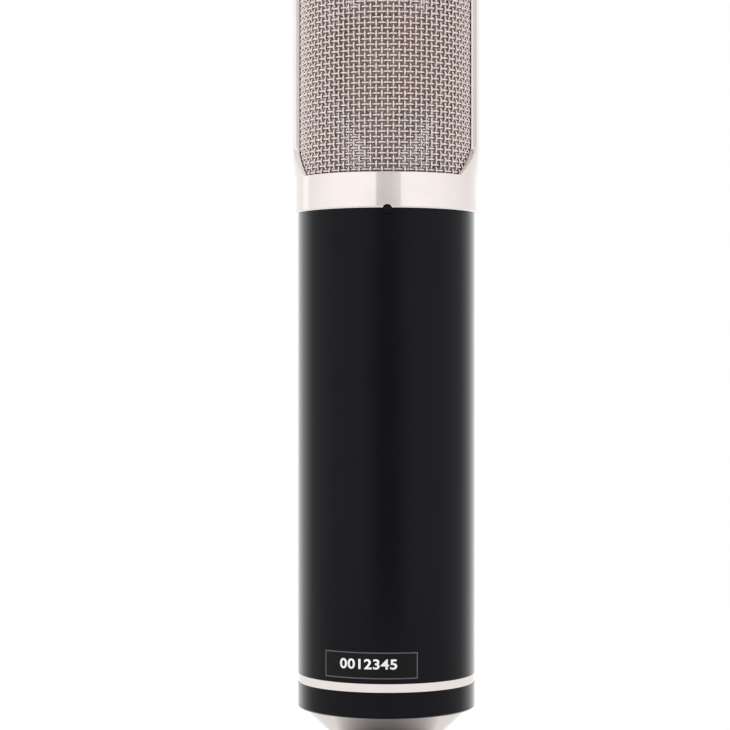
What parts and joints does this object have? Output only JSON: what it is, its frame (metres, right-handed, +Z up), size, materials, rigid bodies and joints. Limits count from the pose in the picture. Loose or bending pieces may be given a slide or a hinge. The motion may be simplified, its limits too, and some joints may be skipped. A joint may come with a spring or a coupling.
{
  "type": "studio microphone",
  "caption": "Side-address studio microphone with a round woven-mesh head under an arched hoop, a black slide-off body tube, a lock ring and a male audio connector.",
  "frame": {"origin": "centre of the neck's lower face, at the connector's mouth", "axes": "+Z up the microphone's axis towards the head; +Y out of the address side; the hoop lies in the XZ plane"},
  "size_m": [0.053, 0.0514, 0.2445],
  "materials": {
    "black_paint": "satin black paint on brass",
    "black_steel": "blackened steel",
    "nickel_plate": "bright nickel plate, very finely brushed",
    "nickel_mesh": "nickel-plated woven wire",
    "fine_mesh": "fine woven wire",
    "black_plastic": "moulded black plastic",
    "ivory_plastic": "ivory-coloured insulating plastic",
    "gold_plate": "gold plate",
    "bare_brass": "turned brass",
    "steel_screws": "zinc-plated steel",
    "label_film": "printed polyester label",
    "aluminium_plate": "milled aluminium",
    "white_ptfe": "turned PTFE",
    "isolator_rubber": "soft black rubber",
    "gold_film": "gold-sputtered polyester film",
    "tinned_wire": "tinned copper",
    "wire_insulation": "coloured wire insulation",
    "board_laminate": "green solder mask on glass laminate",
    "capacitor_sleeve": "shrunk dark blue sleeve",
    "film_capacitor_case": "dipped red case",
    "resistor_body": "blue lacquer with colour bands",
    "transistor_can": "nickel-plated can",
    "core_steel": "varnished silicon-steel laminations",
    "coil_tape": "yellow polyester tape",
    "switch_metal": "pressed steel",
    "slider_plastic": "black moulded lever"
  },
  "bodies": {
    "chassis": {"joint_lock_screw": "black_steel", "collar": "nickel_plate", "hoop_frame": "nickel_plate", "end_bell": "nickel_plate", "outer_mesh_front": "nickel_mesh", "outer_mesh_rear": "nickel_mesh", "inner_mesh_front": "fine_mesh", "inner_mesh_rear": "fine_mesh", "xlr_insulator": "black_plastic", "xlr_pins": "gold_plate", "xlr_retainer_ring": "bare_brass", "retainer_screws": "steel_screws", "lower_plate": "aluminium_plate", "lower_plate_screws": "steel_screws", "rail_left": "aluminium_plate", "rail_right": "aluminium_plate", "rail_screws_low": "steel_screws", "rail_screws_high": "steel_screws", "head_base_plate": "bare_brass", "feedthrough_bushes": "white_ptfe", "collar_screws": "steel_screws", "capsule_saddle": "aluminium_plate", "rubber_isolators": "isolator_rubber", "saddle_screws": "steel_screws", "capsule_ring": "ivory_plastic", "capsule_backplate": "bare_brass", "diaphragm_front": "gold_film", "diaphragm_rear": "gold_film", "clamp_ring_front": "nickel_plate", "clamp_ring_rear": "nickel_plate", "clamp_screws_front": "steel_screws", "clamp_screws_rear": "steel_screws", "centre_terminal_front": "gold_plate", "centre_terminal_rear": "gold_plate", "capsule_lead_front": "tinned_wire", "capsule_lead_rear": "tinned_wire", "grid_wire_front": "wire_insulation", "grid_wire_rear": "wire_insulation", "circuit_board": "board_laminate", "board_screws": "steel_screws", "electrolytic_capacitors": "capacitor_sleeve", "film_capacitors": "film_capacitor_case", "resistors": "resistor_body", "transistors": "transistor_can", "transformer_core": "core_steel", "transformer_coil": "coil_tape", "transformer_bracket": "aluminium_plate", "transformer_screws": "steel_screws", "switch_bracket": "aluminium_plate", "switch_body": "switch_metal", "signal_leads": "wire_insulation"},
    "sleeve": {"body_tube": "black_paint", "serial_label": "label_film"},
    "band": {"silver_band": "nickel_plate"},
    "ring": {"lock_ring": "black_paint"},
    "slider": {"switch_slider": "slider_plastic"}
  },
  "joints": [
    {"name": "sleeve_slide", "type": "slide", "parent": "chassis", "child": "sleeve", "axis": [0, 0, -1], "range_m": [0, 0.165]},
    {"name": "ring_travel", "type": "slide", "parent": "sleeve", "child": "band", "axis": [0, 0, -1], "range_m": [0, 0.0061]},
    {"name": "ring_turn", "type": "hinge", "parent": "band", "child": "ring", "pos_m": [0, 0, 0.028], "axis": [0, 0, -1], "range_deg": [0, 1440]},
    {"name": "low_cut_slide", "type": "slide", "parent": "chassis", "child": "slider", "axis": [0, 0, 1], "range_m": [0, 0.003]}
  ],
  "couplings": [
    {"joint": "ring_travel", "follows": "ring_turn", "m_per_rad": 0.00023873}
  ]
}
